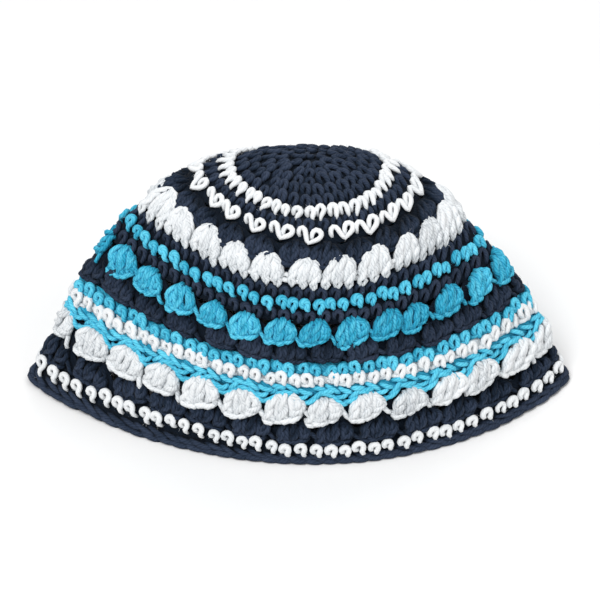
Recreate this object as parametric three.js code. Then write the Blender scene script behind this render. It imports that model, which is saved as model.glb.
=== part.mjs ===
import * as THREE from 'three';

// Crocheted skullcap that stands on its rim, pressed flatter from front to back.
// Millimetres, +Z up, the front of the cap faces -Y and the rim rests on z = 0.
// The cloth is one dome. It is cut into the rounds of the crochet, from crown to rim,
// and each round is a closed ring of cloth with a small clearance to the next.

// Driving sizes
const CAP_WIDTH = 240;
const CAP_DEPTH = 122;
const CAP_HEIGHT = 98;
const CLOTH_THICKNESS = 3;
const ROUND_CLEARANCE = 0.95;
const SET_CLEARANCE = 1.2;
const SHELL_PUFF = 1.3;
const SCALLOP_HANG = 1.8;
const OPENWORK_DEPTH = 3;
const SHELLS_LOWER = 26;
const SHELLS_UPPER = 22;

// Sections of the dome, as shares of half the width, half the depth and the height.
// share is the way along the cloth from the middle of the crown (0) to the rim (1),
// side, front and back say where the section lies at the creases and on the two walls,
// fold pinches its two ends, skew moves the front along X and lean lowers the right end.
const SECTION_COLUMNS = [
  'share', 'halfWidth', 'centreX', 'sideY', 'frontY', 'backY',
  'sideZ', 'frontZ', 'backZ', 'fold', 'skew', 'lean',
];
const SECTION_ROWS = [
  [0.000, 0.000, 0.045, -0.46, -0.46, -0.46, 0.990, 0.990, 0.990, 0.00, 0.00, 0.00],
  [0.110, 0.155, 0.042, -0.46, -0.20, -0.73, 0.988, 0.985, 0.952, 0.00, 0.00, 0.00],
  [0.225, 0.290, 0.037, -0.46, 0.14, -0.93, 0.970, 0.955, 0.860, 0.15, 0.01, 0.02],
  [0.300, 0.395, 0.030, -0.43, 0.34, -1.04, 0.940, 0.912, 0.785, 0.40, 0.02, 0.05],
  [0.410, 0.540, 0.020, -0.34, 0.56, -1.11, 0.835, 0.800, 0.665, 0.70, 0.03, 0.07],
  [0.495, 0.635, 0.018, -0.28, 0.67, -1.13, 0.745, 0.695, 0.555, 0.85, 0.03, 0.10],
  [0.580, 0.722, 0.018, -0.21, 0.74, -1.13, 0.635, 0.580, 0.440, 0.92, 0.04, 0.10],
  [0.725, 0.835, 0.020, -0.12, 0.85, -1.10, 0.425, 0.385, 0.255, 0.92, 0.05, 0.08],
  [0.830, 0.880, 0.022, -0.07, 0.91, -1.06, 0.290, 0.250, 0.150, 0.85, 0.05, 0.08],
  [0.960, 0.955, 0.006, -0.01, 0.98, -1.02, 0.080, 0.060, 0.035, 0.75, 0.05, 0.02],
  [1.000, 1.000, 0.000, 0.00, 1.00, -1.00, 0.000, 0.000, 0.000, 0.70, 0.05, 0.00],
];
const SECTION_SCALE = {
  halfWidth: CAP_WIDTH / 2,
  centreX: CAP_WIDTH / 2,
  skew: CAP_WIDTH / 2,
  sideY: CAP_DEPTH / 2,
  frontY: CAP_DEPTH / 2,
  backY: CAP_DEPTH / 2,
  sideZ: CAP_HEIGHT,
  frontZ: CAP_HEIGHT,
  backZ: CAP_HEIGHT,
  lean: CAP_HEIGHT,
};

// Stations along one shell: four where a round has arches of its own, two on plain rounds.
const ARCHED = 4;
const PLAIN = 2;

const NAVY = { colour: 0x202a39, roughness: 0.9 };
const WHITE = { colour: 0xdce2e5, roughness: 0.9 };
const BLUE = { colour: 0x40b1d2, roughness: 0.9 };

// Rounds from crown to rim. until is the share at which a round ends, and shells and steps
// say how many stations it has. crest is where along a shell its arches stand, drop is how
// far its lower edge hangs there, as a share of SCALLOP_HANG, open is how deep its upper
// edge is cut between arches, as a share of OPENWORK_DEPTH, thick is the cloth as a share
// of CLOTH_THICKNESS and puff marks a round of full shells.
const ROUND_COLUMNS = [
  'name', 'until', 'shells', 'steps', 'crest', 'yarn', 'drop', 'open', 'thick', 'puff',
];
const ROUND_ROWS = [
  ['crown_disc', 0.200, SHELLS_UPPER, PLAIN, 0, NAVY, 0, 0, 1, false],
  ['first_white_round', 0.240, SHELLS_UPPER, PLAIN, 0, WHITE, 0, 0, 1.1, false],
  ['crown_navy_round', 0.280, SHELLS_UPPER, PLAIN, 0, NAVY, 0, 0, 1, false],
  ['second_white_round', 0.325, SHELLS_UPPER, PLAIN, 0.5, WHITE, 0.4, 0, 1.1, false],
  ['upper_navy_shells', 0.380, SHELLS_UPPER, ARCHED, 0, NAVY, 0.45, 0.6, 1, false],
  ['upper_white_shells', 0.440, SHELLS_UPPER, ARCHED, 0.5, WHITE, 0.55, 0.8, 1.1, true],
  ['navy_round_above_dots', 0.480, SHELLS_UPPER, PLAIN, 0, NAVY, 0, 0, 1, false],
  ['blue_dotted_round', 0.515, SHELLS_UPPER, PLAIN, 0, BLUE, 0, 0, 1.1, false],
  ['navy_round_below_dots', 0.555, SHELLS_UPPER, PLAIN, 0, NAVY, 0, 0, 1, false],
  ['blue_shells', 0.610, SHELLS_LOWER, ARCHED, 0, BLUE, 0.8, 0.8, 1.1, true],
  ['middle_navy_shells', 0.670, SHELLS_LOWER, ARCHED, 0.5, NAVY, 0, 0, 1, false],
  ['upper_blue_round', 0.710, SHELLS_LOWER, PLAIN, 0, BLUE, 0, 0, 1.1, false],
  ['white_round', 0.745, SHELLS_LOWER, PLAIN, 0, WHITE, 0, 0, 1.1, false],
  ['lower_blue_round', 0.785, SHELLS_LOWER, PLAIN, 0.5, BLUE, 0.55, 0, 1.1, false],
  ['lower_white_shells', 0.870, SHELLS_LOWER, ARCHED, 0, WHITE, 1, 1, 1.1, true],
  ['lower_navy_shells', 0.935, SHELLS_LOWER, ARCHED, 0.5, NAVY, 0, 1, 1, false],
  ['white_dotted_round', 0.975, SHELLS_LOWER, PLAIN, 0, WHITE, 0, 0, 1.1, false],
  ['rim_edging', 1.000, SHELLS_LOWER, PLAIN, 0, NAVY, 0, 0, 1.1, false],
];
const ROUNDS = ROUND_ROWS.map((row) => (
  Object.fromEntries(ROUND_COLUMNS.map((column, index) => [column, row[index]]))
));
const CROWN_SHARES = [0.07, 0.14];

// Sections of the dome as one list of shares and one list of lengths for each column.
function sectionTable() {
  const table = {};
  SECTION_COLUMNS.forEach((column, index) => {
    const scale = SECTION_SCALE[column] ?? 1;
    table[column] = SECTION_ROWS.map((row) => row[index] * scale);
  });
  return table;
}

// Smooth curve through a column of the table. A flat start keeps the crown level.
function columnAt(xs, ys, x, flatStart) {
  const last = xs.length - 1;
  const slope = (i) => {
    if (i === 0) return flatStart ? 0 : (ys[1] - ys[0]) / (xs[1] - xs[0]);
    if (i === last) return (ys[last] - ys[last - 1]) / (xs[last] - xs[last - 1]);
    return (ys[i + 1] - ys[i - 1]) / (xs[i + 1] - xs[i - 1]);
  };
  let i = 0;
  while (i < last - 1 && x >= xs[i + 1]) i += 1;
  const step = xs[i + 1] - xs[i];
  const s = (x - xs[i]) / step;
  const fromLeft = (1 + 2 * s) * (1 - s) ** 2 * ys[i] + s * (1 - s) ** 2 * step * slope(i);
  const fromRight = s * s * (3 - 2 * s) * ys[i + 1] + s * s * (s - 1) * step * slope(i + 1);
  return fromLeft + fromRight;
}

const SECTIONS = sectionTable();
const STEEP_COLUMNS = new Set(['halfWidth', 'frontY', 'backY']);

function sectionAt(share) {
  const section = {};
  for (const column of SECTION_COLUMNS.slice(1)) {
    section[column] = columnAt(SECTIONS.share, SECTIONS[column], share, !STEEP_COLUMNS.has(column));
  }
  return section;
}

// Point of the middle of the cloth. The angle runs from the right crease over the front.
function clothPoint(section, angle) {
  const s = Math.sin(angle);
  const c = Math.cos(angle);
  const front = s >= 0;
  const pinched = (1 - section.fold) * s + section.fold * s * Math.abs(s);
  const reach = front ? section.frontY - section.sideY : section.sideY - section.backY;
  const wallZ = front ? section.frontZ : section.backZ;
  const x = section.centreX + section.halfWidth * c + (front ? section.skew * s * s : 0);
  const y = -(section.sideY + reach * pinched);
  const z = section.sideZ + (wallZ - section.sideZ) * s * s - (c > 0 ? section.lean * c * c : 0);
  return new THREE.Vector3(x, y, z);
}

// Directions down and out of the cloth at a point, by small steps.
function clothAxes(share, angle) {
  const step = 1e-4;
  const near = Math.min(Math.max(share, 0.01), 1 - step);
  const section = sectionAt(near);
  const around = clothPoint(section, angle + step).sub(clothPoint(section, angle - step));
  const down = clothPoint(sectionAt(near + step), angle).sub(clothPoint(sectionAt(near - step), angle));
  down.divideScalar(2 * step);
  return { down, normal: around.cross(down).normalize() };
}

// How far apart, per share, two edges come at each station, square to the edge there.
function spreadAt(share, stations) {
  const section = sectionAt(share);
  const points = stations.map(({ angle }) => clothPoint(section, angle));
  return stations.map(({ angle }, i) => {
    const { down } = clothAxes(share, angle);
    const before = points[i].clone().sub(points.at(i - 1)).normalize();
    const after = points[(i + 1) % points.length].clone().sub(points[i]).normalize();
    return Math.min(before.cross(down).length(), after.cross(down).length());
  });
}

// How much depth counts when stations are spread along a round: all of it on the crown,
// and half of it on the walls, where the pressed cloth is stretched towards its creases.
function depthWeight(share) {
  const t = Math.min(Math.max((share - 0.3) / 0.3, 0), 1);
  return 1 - 0.5 * t * t * (3 - 2 * t);
}

// Angles of the stations of a round, spread evenly along the section. Each says how far it
// stands from the crest of its arch, as a share of one shell.
function stationAngles(share, round) {
  const samples = 720;
  const section = sectionAt(Math.max(share, 0.01));
  const weight = new THREE.Vector3(1, depthWeight(share), 1);
  const lengths = [0];
  let before = clothPoint(section, 0);
  for (let i = 1; i <= samples; i += 1) {
    const point = clothPoint(section, (2 * Math.PI * i) / samples);
    lengths.push(lengths[i - 1] + point.clone().sub(before).multiply(weight).length());
    before = point;
  }
  const count = round.shells * round.steps;
  const stations = [];
  let i = 1;
  for (let station = 0; station < count; station += 1) {
    const target = (station / count) * lengths[samples];
    while (i < samples && lengths[i] < target) i += 1;
    const within = (target - lengths[i - 1]) / (lengths[i] - lengths[i - 1]);
    const along = (station % round.steps) / round.steps;
    stations.push({ angle: (2 * Math.PI * (i - 1 + within)) / samples, along });
  }
  return stations;
}

// Between two arches lies the station half a shell away from the crest.
function betweenArches(along, crest) {
  return Math.abs(Math.abs(along - crest) - 0.5) < 0.01;
}

// The two sides of the cloth at one station.
function clothSides(share, angle, thickness, lift) {
  const middle = clothPoint(sectionAt(share), angle);
  const { normal } = clothAxes(share, angle);
  if (share >= 1) {
    middle.z = 0;
    normal.setZ(0).normalize();
  }
  return {
    outer: middle.clone().addScaledVector(normal, thickness / 2 + lift),
    inner: middle.clone().addScaledVector(normal, -thickness / 2),
  };
}

// Shares of the stations on the seam under a round, on the side of that round (-1) or of
// the round below it (+1).
function seamShares(upper, stations, clearance, side) {
  const spread = spreadAt(upper.until, stations);
  return stations.map(({ along }, i) => {
    const wave = Math.cos(2 * Math.PI * (along - upper.crest));
    const hang = 0.5 * wave * upper.drop * SCALLOP_HANG;
    return upper.until + (hang + (side * clearance) / 2) / spread[i];
  });
}

// The upper edge of a round of arches is cut deeper between them.
function cutBetween(shares, round, stations) {
  const spread = spreadAt(shares[0], stations);
  return shares.map((share, i) => {
    const cut = betweenArches(stations[i].along, round.crest) ? round.open * OPENWORK_DEPTH : 0;
    return share + cut / spread[i];
  });
}

function addQuad(faces, a, b, c, d) {
  faces.push([a, b, c], [a, c, d]);
}

// Closed ring of cloth from rows of stations, or a closed disc where the first row is
// a single point. Each row is a list of { outer, inner }.
function closedCloth(rows) {
  const points = [];
  const faces = [];
  const index = rows.map((row) => row.map(({ outer, inner }) => {
    points.push(outer, inner);
    return { outer: points.length - 2, inner: points.length - 1 };
  }));
  const disc = rows[0].length === 1;
  for (let r = disc ? 1 : 0; r < rows.length - 1; r += 1) {
    const count = index[r].length;
    for (let i = 0; i < count; i += 1) {
      const a = index[r][i];
      const b = index[r][(i + 1) % count];
      const c = index[r + 1][(i + 1) % count];
      const d = index[r + 1][i];
      addQuad(faces, a.outer, b.outer, c.outer, d.outer);
      addQuad(faces, a.inner, d.inner, c.inner, b.inner);
    }
  }
  const first = index[disc ? 1 : 0];
  const last = index[index.length - 1];
  for (let i = 0; i < last.length; i += 1) {
    const j = (i + 1) % last.length;
    addQuad(faces, last[i].outer, last[j].outer, last[j].inner, last[i].inner);
    if (disc) {
      faces.push([index[0][0].outer, first[j].outer, first[i].outer]);
      faces.push([index[0][0].inner, first[i].inner, first[j].inner]);
    } else {
      addQuad(faces, first[i].inner, first[j].inner, first[j].outer, first[i].outer);
    }
  }
  return { points, faces };
}

// Rounds with different stations follow the curves less closely, so they keep more apart.
function clearanceBetween(a, b) {
  return a.shells * a.steps === b.shells * b.steps ? ROUND_CLEARANCE : SET_CLEARANCE;
}

// Rows of one round, from its upper edge to its lower edge.
function roundRows(round, above, below) {
  const thickness = CLOTH_THICKNESS * round.thick;
  const rowAt = (shares, stations, lift) => stations.map(({ angle, along }, i) => (
    clothSides(shares[i], angle, thickness, betweenArches(along, round.crest) ? 0 : lift)
  ));
  const rows = [];
  let topShares = [];
  if (above) {
    const stations = stationAngles(above.until, round);
    const seam = seamShares(above, stations, clearanceBetween(above, round), 1);
    topShares = cutBetween(seam, round, stations);
    rows.push(rowAt(topShares, stations, 0));
  } else {
    rows.push([clothSides(0.001, 0, thickness, 0)]);
    for (const share of CROWN_SHARES) {
      const stations = stationAngles(share, round);
      rows.push(rowAt(stations.map(() => share), stations, 0));
    }
  }

  const stations = stationAngles(round.until, round);
  const lastShares = below
    ? seamShares(round, stations, clearanceBetween(round, below), -1)
    : stations.map(() => 1);
  if (round.puff) {
    const middle = stationAngles((above.until + round.until) / 2, round);
    const shares = middle.map((station, i) => (topShares[i] + lastShares[i]) / 2);
    rows.push(rowAt(shares, middle, SHELL_PUFF));
  }
  rows.push(rowAt(lastShares, stations, 0));
  return rows;
}

function toMesh(round, solid, shift) {
  const positions = [];
  for (const point of solid.points) {
    positions.push(point.x + shift.x, point.y + shift.y, point.z + shift.z);
  }
  const geometry = new THREE.BufferGeometry();
  geometry.setAttribute('position', new THREE.Float32BufferAttribute(positions, 3));
  geometry.setIndex(solid.faces.flat());
  geometry.computeVertexNormals();
  const material = new THREE.MeshStandardMaterial({
    color: round.yarn.colour,
    roughness: round.yarn.roughness,
    metalness: 0,
  });
  const mesh = new THREE.Mesh(geometry, material);
  mesh.name = round.name;
  return mesh;
}

const solids = ROUNDS.map((round, i) => closedCloth(roundRows(round, ROUNDS[i - 1], ROUNDS[i + 1])));

// The origin is the middle of the bottom of the bounding box.
const box = new THREE.Box3();
for (const solid of solids) {
  for (const point of solid.points) box.expandByPoint(point);
}
const centre = box.getCenter(new THREE.Vector3());
const shift = new THREE.Vector3(-centre.x, -centre.y, -box.min.z);

const skullcap = new THREE.Group();
skullcap.name = 'skullcap';
ROUNDS.forEach((round, i) => skullcap.add(toMesh(round, solids[i], shift)));

export default skullcap;
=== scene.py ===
"""Dresses a skullcap crocheted in thick cotton yarn, worked in rounds from the crown."""

import logging
import math
from dataclasses import dataclass, field
from enum import Enum

import bpy
import numpy as np
from bpy.types import Material, Node, NodeSocket, NodeTree
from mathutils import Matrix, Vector


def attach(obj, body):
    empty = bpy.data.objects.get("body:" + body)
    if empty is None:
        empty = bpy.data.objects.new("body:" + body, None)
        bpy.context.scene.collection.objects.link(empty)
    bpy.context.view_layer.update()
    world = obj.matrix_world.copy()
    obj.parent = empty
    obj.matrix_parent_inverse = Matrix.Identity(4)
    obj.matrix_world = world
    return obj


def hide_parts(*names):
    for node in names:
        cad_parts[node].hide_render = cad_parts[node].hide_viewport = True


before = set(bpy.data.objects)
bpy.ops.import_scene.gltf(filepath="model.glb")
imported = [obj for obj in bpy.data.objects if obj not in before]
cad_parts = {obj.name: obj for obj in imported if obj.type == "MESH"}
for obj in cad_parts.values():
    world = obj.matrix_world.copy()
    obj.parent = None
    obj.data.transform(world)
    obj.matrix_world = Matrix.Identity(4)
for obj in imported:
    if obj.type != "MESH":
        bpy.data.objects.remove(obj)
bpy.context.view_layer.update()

MM = 0.001
Array = np.ndarray
LOG = logging.getLogger("skullcap")

UPPER_SHELLS = 22
LOWER_SHELLS = 26

# How much stitches differ at a wobble of 1, as standard deviations: sideways in stitch
# widths, down and out in millimetres, turned in radians and in size as a share, and then
# bent in millimetres and in thickness as a share.
STRAYS = np.array([0.035, 0.22, 0.12, 0.07, 0.04])
STRAY_BEND = 0.10
STRAY_THICK = 0.03

# Yarn lies in full shade this far below the highest yarn of its row, in millimetres.
SHADE_DEPTH = 3.4
SHADE_CURVE = 1.5
# The ground behind the stitches is painted darker by this tone, as painted shade.
GROUND_SHADE_TONE = -1.5
YARN_SLOT = 0
GROUND_SLOT = 1

# Sections of the dome as shares of half the width, half the depth and the height: the
# share of the way from crown to rim, half width, centre X, Y of the creases, front and
# back, Z of the creases, front and back, fold, skew and lean.
SECTION_ROWS = (
    (0.000, 0.000, 0.045, -0.46, -0.46, -0.46, 0.990, 0.990, 0.990, 0.00, 0.00, 0.00),
    (0.110, 0.155, 0.042, -0.46, -0.20, -0.73, 0.988, 0.985, 0.952, 0.00, 0.00, 0.00),
    (0.225, 0.290, 0.037, -0.46, 0.14, -0.93, 0.970, 0.955, 0.860, 0.15, 0.01, 0.02),
    (0.300, 0.395, 0.030, -0.43, 0.34, -1.04, 0.940, 0.912, 0.785, 0.40, 0.02, 0.05),
    (0.410, 0.540, 0.020, -0.34, 0.56, -1.11, 0.835, 0.800, 0.665, 0.70, 0.03, 0.07),
    (0.495, 0.635, 0.018, -0.28, 0.67, -1.13, 0.745, 0.695, 0.555, 0.85, 0.03, 0.10),
    (0.580, 0.722, 0.018, -0.21, 0.74, -1.13, 0.635, 0.580, 0.440, 0.92, 0.04, 0.10),
    (0.725, 0.835, 0.020, -0.12, 0.85, -1.10, 0.425, 0.385, 0.255, 0.92, 0.05, 0.08),
    (0.830, 0.880, 0.022, -0.07, 0.91, -1.06, 0.290, 0.250, 0.150, 0.85, 0.05, 0.08),
    (0.960, 0.955, 0.006, -0.01, 0.98, -1.02, 0.080, 0.060, 0.035, 0.75, 0.05, 0.02),
    (1.000, 1.000, 0.000, 0.00, 1.00, -1.00, 0.000, 0.000, 0.000, 0.70, 0.05, 0.00),
)


def ramp(value: Array, start: float, length: float) -> Array:
    """Rises in a straight line from 0 at the start to 1 at the end of a length."""
    return np.clip((value - start) / length, 0.0, 1.0)


def smooth_ramp(value: Array, start: float, length: float) -> Array:
    """Rises like a ramp, but level at both ends."""
    t = ramp(value, start, length)
    return t * t * (3.0 - 2.0 * t)


def quads(*corners: Array) -> Array:
    """Stacks the four corners of each face of four sides."""
    return np.stack(np.broadcast_arrays(*corners), axis=-1).reshape(-1, 4)


def sheet_faces(rows: int, columns: int) -> list[Array]:
    """Joins an outer sheet and the inner sheet that follows it, both made of closed rings.

    Args:
        rows: the rings of each sheet.
        columns: the points of each ring.

    Returns:
        The outer faces, the inner ones, and those between the last and the first rings.
    """
    j = np.arange(columns)[None, :]
    n = (j + 1) % columns
    row = np.arange(rows - 1)[:, None] * columns
    layer, last = rows * columns, (rows - 1) * columns
    a, b, c, d = row + j, row + n, row + columns + n, row + columns + j
    return [
        quads(a, b, c, d),
        quads(layer + a, layer + d, layer + c, layer + b),
        quads(last + j, last + n, layer + last + n, layer + last + j),
        quads(layer + j, layer + n, n, j),
    ]


class Yarn(Enum):
    """The three yarns of the cap, by the record's material slots."""

    NAVY = "navy_yarn"
    WHITE = "white_yarn"
    BLUE = "blue_yarn"


@dataclass
class Cloth:
    """The middle of the crocheted cloth, as a dome that stitches are laid on.

    A place on it is a turn, from 0 at the right crease over the front to 1, and a share
    of the way from the middle of the crown to the rim. Lengths are in millimetres.
    """

    half_width: float = 120.0
    half_depth: float = 61.0
    height: float = 98.0
    meridian: float = 151.0
    shift_y: float = -4.6
    crown_sink: float = 2.0
    rows: int = 301
    columns: int = 1201
    fine_angles: int = 1441
    lengths: Array = field(init=False)
    points: Array = field(init=False)
    normals: Array = field(init=False)

    def __post_init__(self) -> None:
        """Works out the dome once, on a fine grid of shares and turns."""
        shares = np.maximum(np.linspace(0.0, 1.0, self.rows), 0.004)[:, None]
        fine = np.linspace(0.0, 2.0 * math.pi, self.fine_angles)[None, :]
        ring = self.surface(shares, np.broadcast_to(fine, (self.rows, self.fine_angles)))
        steps = np.diff(ring, axis=1)
        steps[..., 1] *= self.depth_weight(shares)
        length = np.concatenate(
            [np.zeros((self.rows, 1)), np.cumsum(np.linalg.norm(steps, axis=2), axis=1)], axis=1
        )
        turns = np.linspace(0.0, 1.0, self.columns)
        angles = np.stack([np.interp(turns * row[-1], row, fine[0]) for row in length])
        self.lengths = length[:, -1]
        self.points = self.surface(shares, angles)
        self.normals = self.outward(shares, angles)

    @staticmethod
    def depth_weight(share: Array) -> Array:
        """Says how much depth counts when stitches are spread along a round."""
        return 1.0 - 0.5 * smooth_ramp(share, 0.3, 0.3)

    def column(self, index: int, share: Array, scale: float) -> Array:
        """Reads one column of the sections along a smooth curve.

        Args:
            index: the column of SECTION_ROWS.
            share: where to read it.
            scale: the named size that the column is a share of.

        Returns:
            The column's lengths at those shares.
        """
        table = np.array(SECTION_ROWS)
        xs, ys = table[:, 0], table[:, index] * scale
        slope = np.empty_like(xs)
        slope[1:-1] = (ys[2:] - ys[:-2]) / (xs[2:] - xs[:-2])
        slope[-1] = (ys[-1] - ys[-2]) / (xs[-1] - xs[-2])
        steep_at_crown = index in (1, 4, 5)
        slope[0] = (ys[1] - ys[0]) / (xs[1] - xs[0]) if steep_at_crown else 0.0
        i = np.clip(np.searchsorted(xs, share, side="right") - 1, 0, len(xs) - 2)
        step = xs[i + 1] - xs[i]
        s = (share - xs[i]) / step
        left = (1 + 2 * s) * (1 - s) ** 2 * ys[i] + s * (1 - s) ** 2 * step * slope[i]
        right = s * s * (3 - 2 * s) * ys[i + 1] + s * s * (s - 1) * step * slope[i + 1]
        return left + right

    def surface(self, share: Array, angle: Array) -> Array:
        """Gives points of the dome.

        Args:
            share: shares from the crown to the rim.
            angle: angles of the section, from the right crease over the front.

        Returns:
            Points in the part's frame.
        """
        w, d, h = self.half_width, self.half_depth, self.height
        scales = (w, w, d, d, d, h, h, h, 1.0, w, h)
        read = [self.column(i + 1, share, scale) for i, scale in enumerate(scales)]
        half, centre, side_y, front_y, back_y, side_z, front_z, back_z, fold, skew, lean = read
        s, c = np.sin(angle), np.cos(angle)
        front = s >= 0
        pinched = (1 - fold) * s + fold * s * np.abs(s)
        reach = np.where(front, front_y - side_y, side_y - back_y)
        wall_z = np.where(front, front_z, back_z)
        x = centre + half * c + np.where(front, skew, 0.0) * s * s
        y = -(side_y + reach * pinched) + self.shift_y
        z = side_z + (wall_z - side_z) * s * s - np.where(c > 0, lean, 0.0) * c * c
        return np.stack(np.broadcast_arrays(x, y, z), axis=-1)

    def outward(self, share: Array, angle: Array) -> Array:
        """Gives the directions out of the dome at some places.

        Args:
            share: shares from the crown to the rim.
            angle: angles of the section.

        Returns:
            Directions of length 1.
        """
        step = 1e-3
        near = np.clip(share, 0.01, 1.0 - step)
        around = self.surface(near, angle + step) - self.surface(near, angle - step)
        down = self.surface(near + step, angle) - self.surface(near - step, angle)
        normal = np.cross(around, down)
        return normal / np.linalg.norm(normal, axis=-1, keepdims=True)

    def girth(self, share: float | Array) -> float | Array:
        """Gives the length of rounds along which their stitches are spread."""
        return np.interp(share, np.linspace(0.0, 1.0, self.rows), self.lengths)

    def slant(self, turn: Array, share: float) -> Array:
        """Says how far to the right stitches must lean as they go down to hang upright.

        Args:
            turn: turns around the cap.
            share: the share of the row.

        Returns:
            Lengths to the right for each length down.
        """
        upright, softening = 0.72, 0.12
        here = np.full_like(turn, share)
        flat = np.zeros_like(turn)
        step, aside = 0.01, 0.002
        down = self.place(turn, here + step, flat) - self.place(turn, here - step, flat)
        down /= 2.0 * step * self.meridian
        right = self.place(turn - aside, here, flat) - self.place(turn + aside, here, flat)
        right /= 2.0 * aside * self.girth(share)
        beyond_crown = ramp(share, 0.17, 0.16)
        off_crease = ramp(np.abs(np.mod(turn + 0.25, 0.5) - 0.25), 0.0, 0.045)
        share_of_lean = down[:, 0] * right[:, 0] / (right[:, 0] ** 2 + softening)
        return -upright * beyond_crown * off_crease * share_of_lean

    def place(self, turn: Array, share: Array, lift: Array) -> Array:
        """Lays places of the cloth in space.

        Args:
            turn: turns around the cap.
            share: shares from the crown to the rim.
            lift: heights out of the middle of the cloth.

        Returns:
            Points in the part's frame, in millimetres.
        """
        lift = lift - self.crown_sink * (1.0 - smooth_ramp(share, 0.18, 0.20))
        i = np.clip(share, 0.0, 1.0) * (self.rows - 1)
        j = np.mod(turn, 1.0) * (self.columns - 1)
        i0 = np.minimum(i.astype(int), self.rows - 2)
        j0 = np.minimum(j.astype(int), self.columns - 2)
        a, b = (i - i0)[..., None], (j - j0)[..., None]

        def mix(grid: Array) -> Array:
            """Blends the four corners of a cell of the grid."""
            top = grid[i0, j0] * (1 - b) + grid[i0, j0 + 1] * b
            low = grid[i0 + 1, j0] * (1 - b) + grid[i0 + 1, j0 + 1] * b
            return top * (1 - a) + low * a

        return mix(self.points) + mix(self.normals) * lift[..., None]


@dataclass(frozen=True)
class Strand:
    """One length of yarn in a stitch.

    Each point says how far it lies to the right of the stitch's middle, in stitch widths,
    and how far down, how far out and how thick the yarn is there, in millimetres.
    """

    points: tuple[tuple[float, float, float, float], ...]
    steps: int = 12
    sides: int = 6

    def raised(self, lift: float, height: float = 1.0) -> "Strand":
        """Gives the same strand farther out of the cloth, at a share of its height."""
        points = tuple((x, down * height, out + lift, thick) for x, down, out, thick in self.points)
        return Strand(points, self.steps, self.sides)

    def curve(self) -> Array:
        """Gives the strand as evenly spaced points on a smooth curve through its points.

        Returns:
            One row for each step, with the same four columns as the points.
        """
        stitch_width, fine_steps = 7.0, 12
        knots = np.array(self.points)
        ends = np.vstack([2 * knots[0] - knots[1], knots, 2 * knots[-1] - knots[-2]])
        pieces = []
        for k in range(1, len(ends) - 2):
            a, b, c, d = ends[k - 1 : k + 3]
            t = np.linspace(0.0, 1.0, fine_steps, endpoint=False)[:, None]
            pieces.append(
                0.5 * (2 * b + (c - a) * t + (2 * a - 5 * b + 4 * c - d) * t**2
                       + (3 * b - a - 3 * c + d) * t**3)
            )
        dense = np.vstack([*pieces, knots[-1:]])
        scaled = dense[:, :3] * np.array([stitch_width, 1.0, 1.0])
        along = np.concatenate([[0.0], np.cumsum(np.linalg.norm(np.diff(scaled, axis=0), axis=1))])
        at = np.linspace(0.0, along[-1], self.steps)
        return np.stack([np.interp(at, along, dense[:, k]) for k in range(4)], axis=1)


@dataclass(frozen=True)
class StitchRow:
    """Stitches of one kind, evenly spread around the cap.

    wobble says how much they differ, and hang how far, in millimetres, the row sags between
    the shells below it. left_rise is how far, as a share, the row strays from the rim on the
    left of the front, and lean slants every stitch to the left as it goes down.
    """

    share: float
    count: int
    strands: tuple[Strand, ...]
    phase: float = 0.5
    wobble: float = 1.0
    hang: float = 0.0
    left_rise: float = 0.0
    lean: float = 0.0


@dataclass(frozen=True)
class Ground:
    """The closed band of cloth behind the stitches of a round.

    Its top edge is cut lower between the shells, by cut millimetres. outer and inner are the
    heights of its two faces in millimetres, and shade is how far it lies in shade.
    """

    top: float
    bottom: float
    phase: float = 0.0
    cut: float = 0.0
    outer: float = -0.3
    inner: float = -1.7
    shade: float = 0.9

    @property
    def shells(self) -> int:
        """Gives how many shells a round at this height has."""
        return UPPER_SHELLS if self.top < 0.55 else LOWER_SHELLS


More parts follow.
